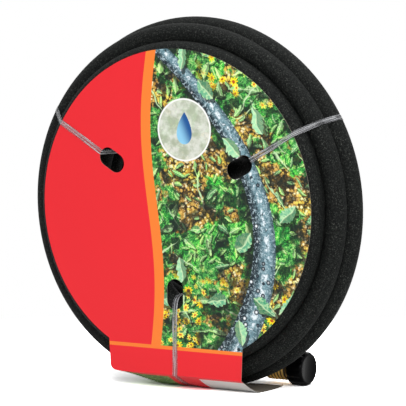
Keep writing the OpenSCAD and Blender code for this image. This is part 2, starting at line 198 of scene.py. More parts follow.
def even_steps(line, step):
    """The same line, cut into equal steps along its length, and that length."""
    along = np.concatenate([[0], np.cumsum(np.linalg.norm(np.diff(line, axis=0), axis=1))])
    s = np.linspace(0, along[-1], int(round(along[-1] / step)) + 1)
    return np.stack([np.interp(s, along, line[:, k]) for k in range(3)], 1), along[-1]


def tube_rings(line, radius, sides):
    """Rings square to a line: centre + r (cos t u + sin t v), with v as near +Y as it goes.

    Where the line itself runs along Y, at its start, v is carried back from further on.
    """
    way = np.gradient(line, axis=0)
    way /= np.linalg.norm(way, axis=1)[:, None]
    v = np.array([0, 1.0, 0]) - way[:, 1:2] * way
    first = int(np.argmax(np.linalg.norm(v, axis=1) > 0.1))
    v[:first] = v[first]
    v -= (v * way).sum(1)[:, None] * way
    v /= np.linalg.norm(v, axis=1)[:, None]
    u = np.cross(v, way)
    t = np.arange(sides) * TURN / sides
    return (line[:, None] + radius[:, None, None]
            * (np.cos(t)[:, None] * u[:, None] + np.sin(t)[:, None] * v[:, None]))


def pressed(rings, line, radius, share):
    """Skin of the tube, moved out towards the turns next to it, as they press on each other.

    Where the gap g to another turn is under the limit, a point moves out by
    0.5 (g - left) ease(limit - g), times the share of its ring. Other turns are the points
    of the line that are near the ring and more than a few rings on from it.
    """
    limit, left, nearby, own_rings = 3.0, 0.1, 40.0, 6
    fine = even_steps(line, HOSE_STEP / 4)[0]
    each = (len(fine) - 1) / (len(line) - 1)
    outward = rings - line[:, None]
    outward /= np.linalg.norm(outward, axis=2)[:, :, None]
    moved = rings.copy()
    for i, ring in enumerate(rings):
        near = np.linalg.norm(fine - line[i], axis=1) < nearby
        near[max(0, int(each * (i - own_rings))):int(each * (i + own_rings)) + 1] = False
        if share[i] > 0 and near.any():
            gap = np.linalg.norm(ring[:, None] - fine[near], axis=2).min(axis=1) - radius[i]
            push = 0.5 * np.maximum(gap - left, 0) * ease(limit - gap) * share[i]
            moved[i] += push[:, None] * outward[i]
    return moved


def make_hose():
    """One tube along the whole line, with its bore cut a little way into each end.

    Round the coil, where its turns press on each other, it is fuller than at its ends.
    """
    bore, pole_r, fuller, sides = 24.0, 0.01, 0.4, 28
    plain, fade = 120.0, 60.0
    line, foot = hose_line()
    line, length = even_steps(line, HOSE_STEP)
    first, last = line[0], line[-1]
    in_way, out_way = line[1] - line[0], line[-1] - line[-2]
    in_way, out_way = in_way / np.linalg.norm(in_way), out_way / np.linalg.norm(out_way)
    in_deep, out_deep = first + bore * in_way, last - bore * out_way
    ends = np.minimum(np.arange(len(line)), np.arange(len(line))[::-1]) * HOSE_STEP
    share = ease((ends - plain) / fade)
    radius = HOSE_R + fuller * share
    rings = pressed(tube_rings(line, radius, sides), line, radius, share)

    def flat_ring(centre, of, r):
        """The first or last ring, moved to a centre and shrunk to radius r."""
        base = rings[of]
        return centre + (base - base.mean(axis=0)) * (r / HOSE_R)

    stack = np.array([
        flat_ring(in_deep, 0, pole_r), flat_ring(in_deep, 0, HOSE_BORE_R),
        flat_ring(first, 0, HOSE_BORE_R), *rings, flat_ring(last, -1, HOSE_BORE_R),
        flat_ring(out_deep, -1, HOSE_BORE_R), flat_ring(out_deep, -1, pole_r)])
    rows = len(stack)
    faces = grid_faces(rows, sides)[:, ::-1].tolist()
    faces.append(list(range(sides)))
    faces.append(list(range(rows * sides - 1, (rows - 1) * sides - 1, -1)))
    piece = mesh_piece("hose", stack.reshape(-1, 3), faces)
    piece.data.set_sharp_from_angle(angle=math.radians(50))
    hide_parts("hose_coil", "hose_inlet_end", "hose_outlet_end")
    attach(piece, "coil")
    return piece, line, length, foot


hose, hose_path, hose_length, inlet_foot = make_hose()


# ------------------------------------------------------------------ turned fittings
THREAD_PITCH = 2.209


def thread_wave(phase, half_gap):
    """1 on a flat crest round each half phase, 0 on a flat root round each whole one.

    Between them is a straight flank. Lengths are in thread pitches.
    """
    half_foot, flank = 0.34, 0.24
    off = np.abs(phase % 1 - 0.5)
    return np.clip((half_foot + half_gap - off) / flank, 0, 1)


def turned(name, profile, origin, along_x, sides=96, thread=None, flutes=None):
    """Closed profile of [station, radius] turned round an axis along +X, or along +Y.

    thread is (first station, last station, depth, half gap, radius of the wall): there
    the radius grows by depth times thread_wave(station / pitch - angle / turn), and the
    wave fades out at each end. flutes is (count, depth, sharpness, first station, last
    station, least radius): there the radius shrinks by depth times |cos(count angle / 2)|
    to the power of sharpness.
    """
    cuts_per_pitch, steepness = 14, 2.5
    profile = np.array(profile, float)
    fine = [profile[0]]
    for a, b in zip(profile[:-1], profile[1:]):
        cuts = 1
        if thread and min(a[0], b[0]) >= thread[0] - 0.01 and max(a[0], b[0]) <= thread[1] + 0.01 \
                and abs(a[0] - b[0]) > THREAD_PITCH:
            cuts = int(abs(a[0] - b[0]) / THREAD_PITCH * cuts_per_pitch)
        fine += [a + (b - a) * k / cuts for k in range(1, cuts + 1)]
    fine = np.array(fine)
    t = np.arange(sides) * TURN / sides
    station, radius = fine[:, :1] + 0 * t, fine[:, 1:] + 0 * t
    if flutes:
        count, depth, sharp, low, high, least = flutes
        held = (fine[:, :1] > low) & (fine[:, :1] < high) & (fine[:, 1:] > least)
        radius = radius - held * depth * np.abs(np.cos(count * t / 2)) ** sharp
    if thread:
        low, high, depth, half_gap, wall_r = thread
        on_wall = (fine[:, :1] >= low) & (fine[:, :1] <= high) \
            & (np.abs(fine[:, 1:] - wall_r) < 0.05)
        fade = np.clip((station - low) / THREAD_PITCH, 0, 1) \
            * np.clip((high - station) / THREAD_PITCH, 0, 1)
        wave = thread_wave(station / THREAD_PITCH - t / TURN, half_gap)
        radius = radius + on_wall * depth * wave * np.minimum(1, steepness * fade)
    c, s = radius * np.cos(t), radius * np.sin(t)
    grid = np.stack([station, c, s] if along_x else [c, station, -s], -1) + np.array(origin)
    rows = len(fine)
    points = grid.reshape(-1, 3)
    closed = np.allclose(fine[0], fine[-1])
    if closed:
        points, rows = points[:-sides], rows - 1
    faces = grid_faces(rows, sides, close_rows=closed).tolist()
    if not closed:
        faces.append(list(range(sides - 1, -1, -1)))
        faces.append(list(range((rows - 1) * sides, rows * sides)))
    piece = mesh_piece(name, points, faces)
    turn_outward(piece)
    piece.data.set_sharp_from_angle(angle=math.radians(38))
    return piece


def turn_outward(piece):
    """Flips every face if the solid's signed volume is negative."""
    mesh = piece.data
    mesh.calc_loop_triangles()
    co = np.zeros(len(mesh.vertices) * 3)
    mesh.vertices.foreach_get("co", co)
    co = co.reshape(-1, 3)
    tri = np.zeros(len(mesh.loop_triangles) * 3, int)
    mesh.loop_triangles.foreach_get("vertices", tri)
    a, b, c = co[tri.reshape(-1, 3)].transpose(1, 0, 2)
    if np.einsum("ij,ij->i", a, np.cross(b, c)).sum() < 0:
        mesh.flip_normals()


OUTLET = [0.0, OUTLET_Y - MID_Y, OUTLET_Z]
INLET = inlet_foot

THREAD_R, ROOT_R = 13.49, 12.4
WATER_R = 6.0
TAIL_R = 7.89


def hose_tail(tail):
    """Outline of a tail that starts at a station: four barbs, each a slope and a short drop."""
    step, drop = 5.0, 0.7
    line = [[tail, WATER_R], [tail, TAIL_R - 1.2]]
    for k in range(4):
        s = tail + 0.6 + k * step
        line += [[s, TAIL_R - drop], [s + 0.8 * step, TAIL_R], [s + 0.86 * step, TAIL_R - drop]]
    return line + [[tail + 21.4, TAIL_R - 0.3]]


def make_outlet_stem():
    """Male coupling: barbed tail, rounded flange and the 3/4-11.5 thread."""
    tail, flange, thread_from, thread_to, mouth = 57.0, 80.26, 82.76, 96.3, 97.06
    profile = hose_tail(tail) + [
        [flange, TAIL_R - 0.3],
        [flange, 12.6], [flange + 0.4, 13.05], [flange + 1.6, 13.05], [flange + 2.0, 12.6],
        [flange + 2.0, 12.2], [82.5, 12.2], [thread_from, ROOT_R],
        [thread_to, ROOT_R], [mouth, 11.9], [mouth, 6.7], [96.5, WATER_R], [tail, WATER_R]]
    piece = turned("outlet_stem", profile, OUTLET, True,
                   thread=(thread_from, thread_to, THREAD_R - ROOT_R, 0.0, ROOT_R))
    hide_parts("outlet_thread_stem")
    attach(piece, "coil")
    return piece


def make_tailpiece():
    """Inlet tail: barbs, collar, neck and seat flange with a recess for the flow disc."""
    tail, collar, seat = 8.0, 31.26, 39.26
    profile = hose_tail(tail) + [
        [collar, TAIL_R - 0.3],
        [collar, 10.6], [collar + 0.4, 11.0], [collar + 1.6, 11.0], [collar + 2.0, 10.6],
        [collar + 2.0, 9.0], [seat, 9.0], [seat, 12.2], [seat + 0.3, 12.55],
        [seat + 2.2, 12.55], [seat + 2.5, 12.2], [seat + 2.5, 7.7], [seat + 0.46, 7.7],
        [seat + 0.46, WATER_R], [tail, WATER_R]]
    piece = turned("inlet_tail", profile, INLET, False)
    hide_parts("inlet_tailpiece")
    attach(piece, "coil")
    return piece


def make_swivel_nut():
    """Nut with grip flutes round it, an inturned lip and a female thread."""
    foot, thread_from, mouth = 36.2, 44.88, 54.68
    inner = 12.75
    profile = [[foot, 9.06], [foot, 13.8], [foot + 0.8, 14.4], [foot + 3.0, 14.4],
               [foot + 3.0, 15.4], [foot + 3.6, 16.0], [mouth - 2.6, 16.0],
               [mouth - 2.0, 15.4], [mouth - 2.0, 14.9], [mouth, 14.9],
               [mouth, 14.1], [mouth - 0.7, inner], [thread_from + 0.3, inner],
               [thread_from, 13.94], [foot + 3.0, 13.94], [foot + 3.0, 9.06], [foot, 9.06]]
    piece = turned("swivel_nut", profile, INLET, False, sides=160,
                   thread=(thread_from + 0.3, mouth - 0.7, THREAD_R + 0.1 - inner, 0.05, inner),
                   flutes=(20, 0.9, 6, foot + 3.01, mouth - 2.01, 15.2))
    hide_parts("inlet_swivel_nut")
    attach(piece, "nut")
    return piece


def make_end_cap():
    """Screw cap: twelve grip hollows, a chamfer round the closed end and a female thread."""
    rim, end, bore_end, thread_to = 85.58, 104.58, 100.18, 96.9
    inner, pole_r = 12.6, 0.01
    # The closed end is a disc on both sides, so the profile runs from pole to pole.
    profile = [[bore_end, pole_r], [bore_end, 13.55], [97.2, 13.55], [thread_to, inner],
               [rim + 1.2, inner], [rim, 14.2], [rim, 18.0], [rim + 0.5, 18.7],
               [rim + 1.4, 19.0], [end - 2.6, 19.0], [end - 1.9, 18.8], [end - 0.4, 17.3],
               [end, 16.6], [end, 14.4], [end - 0.5, 13.6], [end - 0.5, pole_r]]
    piece = turned("cap", profile, OUTLET, True, sides=160,
                   thread=(rim + 1.2, thread_to, THREAD_R + 0.06 - inner, 0.05, inner),
                   flutes=(12, 1.2, 4.0, rim + 0.1, end - 1.5, 18.0))
    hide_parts("end_cap")
    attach(piece, "cap")
    return piece


def make_ferrule(name, node, origin, mouth, along_x):
    """Crimped ferrule: its skin is outer - depth |cos(pi (s - first) / pitch)|^1.6."""
    first, pitch, outer, depth, ridges = 0.6, 4.2, 14.5, 1.5, 6
    inner, hose_end, back = 11.06, mouth + 26.06, mouth + 27.2
    s = np.linspace(first, first + ridges * pitch, ridges * 14 + 1)
    skin = outer - depth * np.abs(np.cos(np.pi * (s - first) / pitch)) ** 1.6
    profile = [[mouth, inner], [mouth, 12.6]] \
        + [[mouth + at, r] for at, r in zip(s, skin)] \
        + [[mouth + 26.2, 12.7], [mouth + 27.0, 12.1], [back, 11.2], [back, HOSE_BORE_R],
           [hose_end, HOSE_BORE_R], [hose_end, inner], [mouth, inner]]
    piece = turned(name, profile, origin, along_x)
    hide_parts(node)
    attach(piece, "coil")
    return piece


outlet_stem = make_outlet_stem()
inlet_tail = make_tailpiece()
swivel_nut = make_swivel_nut()
cap = make_end_cap()
outlet_crimp = make_ferrule("outlet_crimp", "outlet_ferrule", OUTLET, 53.0, True)
inlet_crimp = make_ferrule("inlet_crimp", "inlet_ferrule", INLET, 4.0, False)


# ------------------------------------------------------------------ material helpers
class Tree:
    """Short way to add nodes to a material or a group and to join their sockets."""

    def __init__(self, tree):
        self.tree = tree

    def add(self, kind, inputs=None, **settings):
        """A node with its settings, and with a value or a link in each named input."""
        node = self.tree.nodes.new(kind)
        for key, value in settings.items():
            setattr(node, key, value)
        for key, value in (inputs or {}).items():
            self.feed(node.inputs[key], value)
        return node

    def feed(self, socket, value):
        if isinstance(value, bpy.types.NodeSocket):
            self.tree.links.new(value, socket)
        else:
            socket.default_value = value

    def math(self, operation, a, b=0.0):
        return self.add("ShaderNodeMath", {0: a, 1: b}, operation=operation).outputs[0]

    def plus(self, a, b):
        return self.math("ADD", a, b)

    def minus(self, a, b):
        return self.math("SUBTRACT", a, b)

    def times(self, a, b):
        return self.math("MULTIPLY", a, b)

    def size(self, a):
        """The value without its sign."""
        return self.math("ABSOLUTE", a)

    def larger(self, a, b):
        return self.math("MAXIMUM", a, b)

    def below(self, a, b):
        """1 where a is less than b, and 0 elsewhere."""
        return self.math("LESS_THAN", a, b)

    def above(self, a, b):
        return self.math("GREATER_THAN", a, b)

    def vector(self, operation, a, b=(0, 0, 0)):
        node = self.add("ShaderNodeVectorMath", {0: a, 1: b}, operation=operation)
        return node.outputs["Value" if operation in ("LENGTH", "DOT_PRODUCT") else "Vector"]

    def split(self, vector):
        """X, Y and Z of a vector."""
        return self.add("ShaderNodeSeparateXYZ", {0: vector}).outputs

    def join(self, x, y, z=0.0):
        return self.add("ShaderNodeCombineXYZ", {0: x, 1: y, 2: z}).outputs[0]

    def turn(self, vector, angle):
        """The vector turned about Z."""
        return self.add("ShaderNodeVectorRotate", {"Vector": vector, "Angle": angle},
                        rotation_type="Z_AXIS").outputs[0]

    def band(self, value, low, high):
        """0 at low and beyond it, 1 at high and beyond it, smooth between."""
        node = self.add("ShaderNodeMapRange", {"Value": value, "From Min": low, "From Max": high},
                        interpolation_type="SMOOTHSTEP")
        return node.outputs[0]

    def mix(self, factor, a, b, blend="MIX"):
        """Colour a where the factor is 0 and colour b where it is 1."""
        node = self.add("ShaderNodeMix", data_type="RGBA", blend_type=blend)
        for key, value in (("Factor_Float", factor), ("A_Color", a), ("B_Color", b)):
            socket = next(s for s in node.inputs if s.identifier == key)
            if not isinstance(value, (bpy.types.NodeSocket, float, int)) and len(value) == 3:
                value = (*value, 1.0)
            self.feed(socket, value)
        return next(s for s in node.outputs if s.identifier == "Result_Color")

    def over(self, picture, value, low, high, colour):
        """The colour laid over a picture as the value passes from low to high."""
        return self.mix(self.band(value, low, high), picture, colour)

    def noise(self, vector, scale, detail=4.0, roughness=0.55, distortion=0.0, output=0):
        return self.add("ShaderNodeTexNoise", {
            "Vector": vector, "Scale": scale, "Detail": detail, "Roughness": roughness,
            "Distortion": distortion}).outputs[output]

    def cells(self, vector, scale, randomness=1.0, **settings):
        """Voronoi texture's outputs, and three random numbers for each of its cells."""
        cell = self.add("ShaderNodeTexVoronoi", {"Vector": vector, "Scale": scale,
                                                 "Randomness": randomness}, **settings).outputs
        return cell, self.add("ShaderNodeSeparateColor", {0: cell["Color"]}).outputs

    def bump(self, height, strength, distance, normal=None):
        inputs = {"Height": height, "Strength": strength, "Distance": distance}
        if normal is not None:
            inputs["Normal"] = normal
        return self.add("ShaderNodeBump", inputs).outputs[0]


def new_material(name, **plain):
    """Material, its tree, its Principled shader's inputs, and where a point is.

    The plain values are set on the shader's own sockets.
    """
    material = bpy.data.materials.new(name)
    material.use_nodes = True
    tree = Tree(material.node_tree)
    shader = material.node_tree.nodes["Principled BSDF"].inputs
    for key, value in plain.items():
        shader[key.replace("_", " ")].default_value = value
    where = tree.add("ShaderNodeTexCoord").outputs["Object"]
    return material, tree, shader, where


def new_group(name, inputs, outputs):
    """Node group with an input Where, numbers with their defaults, and numbers that it gives."""
    group = bpy.data.node_groups.new(name, "ShaderNodeTree")
    group.interface.new_socket("Where", in_out="INPUT", socket_type="NodeSocketVector")
    for key, value in inputs.items():
        socket = group.interface.new_socket(key, in_out="INPUT", socket_type="NodeSocketFloat")
        socket.default_value = value
    for key in outputs:
        group.interface.new_socket(key, in_out="OUTPUT", socket_type="NodeSocketFloat")
    tree = Tree(group)
    return group, tree, tree.add("NodeGroupInput").outputs, tree.add("NodeGroupOutput").inputs


def use(tree, group, inputs):
    """The outputs of a group placed in a tree with these inputs."""
    node = tree.add("ShaderNodeGroup", node_tree=group)
    for key, value in inputs.items():
        tree.feed(node.inputs[key], value)
    return node.outputs


def grain_group():
    """Fine two-scale grain: a height for bumps and a mask of its pale specks."""
    group, tree, given, out = new_group(
        "fine_grain", {"Scale": 600.0, "Specks": 0.62}, ("Height", "Speck"))
    fine = tree.noise(given["Where"], given["Scale"], 3.0, 0.6)
    coarse = tree.noise(given["Where"], tree.times(given["Scale"], 0.22), 3.0)
    tree.feed(out["Height"], tree.plus(tree.times(fine, 0.6), tree.times(coarse, 0.4)))
    tree.feed(out["Speck"], tree.band(fine, given["Specks"], tree.plus(given["Specks"], 0.1)))
    return group


def wear_group():
    """Slow smudges that change a finish by a little: a value round 0.5."""
    group, tree, given, out = new_group(
        "soft_smudges", {"Scale": 30.0, "Amount": 0.3}, ("Value",))
    slow = tree.noise(given["Where"], given["Scale"], 5.0, 0.65, 0.4)
    off = tree.times(tree.minus(slow, 0.5), given["Amount"])
    tree.feed(out["Value"], tree.plus(off, 0.5))
    return group


GRAIN = grain_group()
SMUDGE = wear_group()


def grains(tree, where, scale, specks):
    return use(tree, GRAIN, {"Where": where, "Scale": scale, "Specks": specks})


def smudges(tree, where, scale, amount):
    return use(tree, SMUDGE, {"Where": where, "Scale": scale, "Amount": amount})["Value"]


# ------------------------------------------------------------------ materials
def hose_rubber():
    """Crumb rubber: near black, with grains of paler and darker crumb and a pitted skin."""
    material, tree, shader, where = new_material("hose_rubber", Specular_IOR_Level=0.13)
    grain = grains(tree, where, 760.0, 0.585)
    smudge = smudges(tree, where, 22.0, 0.6)
    base = tree.mix(smudge, (0.0036, 0.0046, 0.0042), (0.0072, 0.0086, 0.0078))
    crumb = tree.noise(where, 560.0, 3.0, 0.75)
    base = tree.over(base, crumb, 0.53, 0.44, (0.0010, 0.0015, 0.0014))
    base = tree.over(base, crumb, 0.56, 0.66, (0.024, 0.027, 0.024))
    tree.feed(shader["Base Color"], tree.mix(grain["Speck"], base, (0.066, 0.070, 0.062)))
    tree.feed(shader["Roughness"], tree.plus(tree.times(smudge, 0.16), 0.62))
    pits = tree.bump(tree.noise(where, 400.0, 5.0, 0.7), 0.8, 0.0013)
    tree.feed(shader["Normal"], tree.bump(grain["Height"], 0.6, 0.0006, pits))
    return material


def turned_brass(name, colour, dark, roughness, scratch):
    """Brass: slightly uneven colour and gloss, with fine turning marks."""
    material, tree, shader, where = new_material(name, Metallic=1.0)
    smudge = smudges(tree, where, 120.0, 0.8)
    tree.feed(shader["Base Color"], tree.mix(smudge, dark, colour))
    tree.feed(shader["Roughness"], tree.plus(tree.times(smudge, 0.18), roughness))
    grain = grains(tree, where, 2400.0, 0.7)
    tree.feed(shader["Normal"], tree.bump(grain["Height"], scratch, 0.0002))
    return material


def crimped_brass(name, origin, along_x):
    """Bright yellow brass, with painted shade: near-black brown in the grooves of the crimp, picked
    by distance to the axis.
    """
    groove_r, ridge_r = 0.0131, 0.0136
    material, tree, shader, where = new_material(name, Metallic=0.35)
    local = tree.vector("SUBTRACT", where, tuple(MM * v for v in origin))
    flat = tree.vector("MULTIPLY", local, (0, 1, 1) if along_x else (1, 0, 1))
    # out is 0 in the grooves and 1 on the ridges, so the grooves take the painted shade.
    out = tree.band(tree.vector("LENGTH", flat), groove_r, ridge_r)
    smudge = smudges(tree, where, 120.0, 0.8)
    bright = tree.mix(smudge, (1.0, 0.52, 0.09), (1.0, 0.72, 0.22))
    # Painted shade: near-black brown in the grooves, where shade falls between the ridges.
    tree.feed(shader["Base Color"], tree.mix(out, (0.050, 0.018, 0.006), bright))
    tree.feed(shader["Roughness"], tree.plus(tree.times(smudge, 0.14), 0.22))
    grain = grains(tree, where, 2400.0, 0.7)
    tree.feed(shader["Normal"], tree.bump(grain["Height"], 0.2, 0.0002))
    return material


def plastic(name, colour, pale, roughness, grain_scale, depth, **plain):
    """Moulded plastic: a faint grain and soft smudges in its gloss."""
    material, tree, shader, where = new_material(name, **plain)
    smudge = smudges(tree, where, 60.0, 0.6)
    tree.feed(shader["Base Color"], tree.mix(smudge, colour, pale))
    tree.feed(shader["Roughness"], tree.plus(tree.times(smudge, 0.14), roughness))
    grain = grains(tree, where, grain_scale, 0.66)
    tree.feed(shader["Normal"], tree.bump(grain["Height"], 0.3, depth))
    return material


def plane_cells(tree, given, randomness):
    """Random numbers of the nearest cell of a jittered flat grid, and the place in the cell."""
    cell, random = tree.cells(given["Where"], given["Scale"], randomness,
                              voronoi_dimensions="2D")
    scaled, centre = [tree.add("ShaderNodeVectorMath", {0: at, "Scale": given["Scale"]},
                               operation="SCALE").outputs[0]
                      for at in (given["Where"], cell["Position"])]
    return random, tree.vector("SUBTRACT", scaled, centre)


def leaf_group():
    """One layer of pointed leaves, one in each cell of a jittered grid.

    In a cell, the point is turned by the cell's own angle to (l, w). The leaf is where
    |w| < width (0.74 + 0.26 |sin 17 (l - |w|)|) (1 - (l / length)^2), its rib where |w| is near 0.
    """
    group, tree, given, out = new_group(
        "leaf_layer", {"Scale": 60.0, "Length": 0.5, "Width": 0.2, "Share": 0.8},
        ("Leaf", "Rib", "Tone", "Side"))
    random, local = plane_cells(tree, given, 0.62)
    split = tree.split(tree.turn(local, tree.times(random[0], TURN)))
    reach = tree.math("DIVIDE", split[0], given["Length"])
    slant = tree.minus(split[0], tree.size(split[1]))
    lobes = tree.size(tree.math("SINE", tree.times(slant, 17.0)))
    waist = tree.times(given["Width"], tree.plus(0.74, tree.times(lobes, 0.26)))
    edge = tree.times(waist, tree.minus(1.0, tree.math("POWER", tree.size(reach), 2.0)))
    across = tree.size(split[1])
    inside = tree.band(tree.minus(edge, across), 0.0, 0.02)
    shown = tree.below(random[1], given["Share"])
    tree.feed(out["Leaf"], tree.times(inside, shown))
    rib = tree.minus(1.0, tree.band(across, 0.008, 0.03))
    veins = tree.size(tree.math("SINE", tree.times(tree.minus(split[0], across), 46.0)))
    veins = tree.times(tree.below(veins, 0.22), 0.35)
    tree.feed(out["Rib"], tree.larger(rib, veins))
    tree.feed(out["Tone"], random[2])
    tree.feed(out["Side"], tree.above(split[1], 0.0))
    return group


def daisy_group():
    """Daisies, one in some cells of a jittered grid, with petals by a cosine of the angle."""
    group, tree, given, out = new_group(
        "daisy_layer", {"Scale": 40.0, "Size": 0.3, "Petals": 9.0, "Share": 0.4},
        ("Petal", "Middle"))
    random, local = plane_cells(tree, given, 0.7)
    split = tree.split(local)
    angle = tree.math("ARCTAN2", split[1], split[0])
    far = tree.vector("LENGTH", local)
    petal = tree.size(tree.math("COSINE", tree.times(angle, tree.times(given["Petals"], 0.5))))
    edge = tree.times(given["Size"], tree.plus(0.45, tree.times(petal, 0.55)))
    shown = tree.below(random[0], given["Share"])
    tree.feed(out["Petal"], tree.times(shown, tree.below(far, edge)))
    tree.feed(out["Middle"], tree.times(shown, tree.below(far, tree.times(given["Size"], 0.33))))
    return group


PALE_GREEN = (0.74, 0.92, 0.56)


def shaded_leaves(tree, leaves, picture, where, shift, scale, shape, share, deep, bright):
    """A layer of leaves over its own drop shadow, each leaf paler on one side of its rib."""
    drop_x, drop_y = -0.10 / scale, 0.13 / scale
    moved = tree.vector("ADD", where, (*shift, 0.0))
    dropped = tree.vector("ADD", moved, (drop_x, drop_y, 0.0))
    plain = {"Scale": scale, "Length": shape[0], "Width": shape[1], "Share": share}
    shadow = use(tree, leaves, {"Where": dropped, **plain})["Leaf"]
    picture = tree.mix(tree.times(shadow, 0.82), picture, (0.002, 0.007, 0.003))
    leaf = use(tree, leaves, {"Where": moved, **plain})
    colour = tree.mix(leaf["Tone"], deep, bright)
    mottle = tree.noise(where, scale * 9.0, 3.0, 0.6)
    spots = tree.band(mottle, 0.42, 0.62)
    colour = tree.mix(spots, colour, tree.mix(0.6, colour, (0.72, 0.95, 0.52)))
    colour = tree.mix(tree.times(leaf["Side"], 0.62), colour, (0.006, 0.080, 0.024))
    colour = tree.mix(tree.times(leaf["Rib"], 0.6), colour, PALE_GREEN)
    return tree.mix(leaf["Leaf"], picture, colour)


def undergrowth(tree, where):
    """Dark foliage with bright tips: distorted noise through a steep ramp, and blades of grass."""
    clumps = tree.noise(where, 130.0, 8.0, 0.78, 1.1)
    picture = tree.mix(tree.band(clumps, 0.34, 0.46), (0.002, 0.008, 0.005), (0.014, 0.170, 0.036))
    picture = tree.over(picture, clumps, 0.47, 0.54, (0.12, 0.56, 0.100))
    picture = tree.over(picture, clumps, 0.55, 0.62, (0.78, 0.94, 0.40))
    cool = tree.band(tree.noise(where, 22.0, 3.0, 0.6), 0.50, 0.60)
    picture = tree.mix(tree.times(cool, 0.6), picture, (0.05, 0.42, 0.26), "SOFT_LIGHT")
    lean = tree.times(tree.noise(where, 16.0, 1.0), 6.0)
    combed = tree.vector("MULTIPLY", tree.turn(where, lean), (900.0, 75.0, 1.0))
    blades = tree.noise(combed, 1.0, 2.0, 0.5)
    picture = tree.over(picture, blades, 0.60, 0.64, (0.20, 0.60, 0.14))
    picture = tree.over(picture, blades, 0.67, 0.70, PALE_GREEN)
    return tree.over(picture, blades, 0.40, 0.36, (0.001, 0.007, 0.004))


def bark_chips(tree, where):
    """Sunlit golden chips of bark, in random tones, with dark gaps and fallen straw."""
    chips, tone = tree.cells(where, 330.0)
    picture = tree.mix(tone[0], (0.40, 0.19, 0.030), (0.92, 0.60, 0.14))
    picture = tree.over(picture, tone[1], 0.76, 0.82, (0.98, 0.84, 0.48))
    picture = tree.over(picture, chips["Distance"], 0.45, 0.80, (0.040, 0.018, 0.005))
    rough = tree.noise(where, 240.0, 5.0, 0.75, 0.9)
    picture = tree.over(picture, rough, 0.46, 0.38, (0.030, 0.014, 0.005))
    picture = tree.over(picture, rough, 0.60, 0.68, (0.98, 0.76, 0.34))
    shade = tree.noise(where, 42.0, 4.0, 0.6)
    return tree.over(picture, shade, 0.44, 0.36, (0.010, 0.016, 0.006))


def wet_line(tree, picture, where, across, up):
    """A wet grey-blue line of hose through the bed, beaded with drops and shaded as a round.

    Its middle is at across = 0.116 - 3 (up + 0.04)^2 and its half width is 0.013 - 0.03 up,
    square to the line, in metres.
    """
    lift = tree.plus(up, 0.04)
    middle = tree.minus(0.116, tree.times(3.0, tree.times(lift, lift)))
    slope = tree.times(lift, 6.0)
    steep = tree.math("SQRT", tree.plus(1.0, tree.times(slope, slope)))
    half = tree.times(steep, tree.minus(0.013, tree.times(up, 0.03)))
    aside = tree.math("DIVIDE", tree.minus(across, middle), half)
    ragged = tree.times(tree.noise(where, 70.0, 4.0), 0.5)
    shadow = tree.band(tree.size(tree.plus(aside, 0.35)), tree.plus(ragged, 1.2), 0.95)
    picture = tree.mix(tree.times(shadow, 0.85), picture, (0.002, 0.007, 0.006))
    round_shade = tree.band(tree.size(tree.minus(aside, 0.25)), 1.0, 0.1)
    colour = tree.mix(round_shade, (0.005, 0.016, 0.024), (0.16, 0.30, 0.35))
    wet = tree.noise(where, 260.0, 6.0, 0.8, 0.6)
    colour = tree.over(colour, wet, 0.51, 0.60, (0.48, 0.62, 0.68))
    colour = tree.over(colour, wet, 0.46, 0.37, (0.004, 0.012, 0.020))
    shine = tree.band(tree.size(tree.minus(aside, 0.18)), 0.34, 0.12)
    broken = tree.band(tree.noise(where, 120.0, 5.0, 0.7), 0.50, 0.58)
    colour = tree.mix(tree.times(shine, broken), colour, (0.82, 0.90, 0.94))
    drops, chance = tree.cells(where, 130.0)
    shown = tree.above(chance[0], 0.66)
    rim = tree.times(shown, tree.band(drops["Distance"], 0.42, 0.36))
    colour = tree.mix(rim, colour, (0.010, 0.026, 0.040))
    bead = tree.times(shown, tree.band(drops["Distance"], 0.30, 0.10))
    colour = tree.mix(bead, colour, (0.90, 0.95, 0.97))
    inside = tree.band(tree.size(aside), 1.03, 0.97)
    return tree.mix(inside, picture, colour)


def close_up(tree, picture, where, across, up):
    """A pale ringed disc over the bed, with a large plain water drop in it.

    The drop's half width goes as sqrt(t) (1 - t), with t from 0 at its foot to 1 at its tip.
    """
    middle_x, middle_y = 0.012, 0.086
    disc_r, ring_r, soft = 0.0330, 0.0345, 0.0005
    drop_foot, drop_h, drop_w = 0.016, 0.036, 0.0150
    x = tree.minus(across, middle_x)
    y = tree.minus(up, middle_y)
    far = tree.vector("LENGTH", tree.join(x, y))
    haze = tree.noise(where, 60.0, 5.0, 0.6)
    pale = tree.mix(tree.band(haze, 0.38, 0.62), (0.46, 0.52, 0.38), (0.80, 0.82, 0.74))
    disc = tree.band(far, disc_r + soft, disc_r)
    picture = tree.mix(tree.times(disc, 0.9), picture, pale)
    ring = tree.times(tree.band(far, ring_r + soft, ring_r), tree.band(far, disc_r - soft, disc_r))
    picture = tree.mix(ring, picture, (0.92, 0.93, 0.90))
    rise = tree.times(tree.plus(y, drop_foot), 1 / drop_h)
    neck = tree.minus(1.0, rise)
    half = tree.times(tree.math("SQRT", tree.larger(rise, 0.0)), tree.larger(neck, 0.0))
    half = tree.times(tree.times(drop_w, half), 1.75)
    inside = tree.band(tree.minus(half, tree.size(x)), 0.0, 0.0006)
    lit = tree.band(tree.plus(tree.times(x, 60.0), rise), 0.9, -0.1)
    drop = tree.mix(lit, (0.010, 0.090, 0.30), (0.28, 0.62, 0.86))
    return tree.mix(inside, picture, drop)


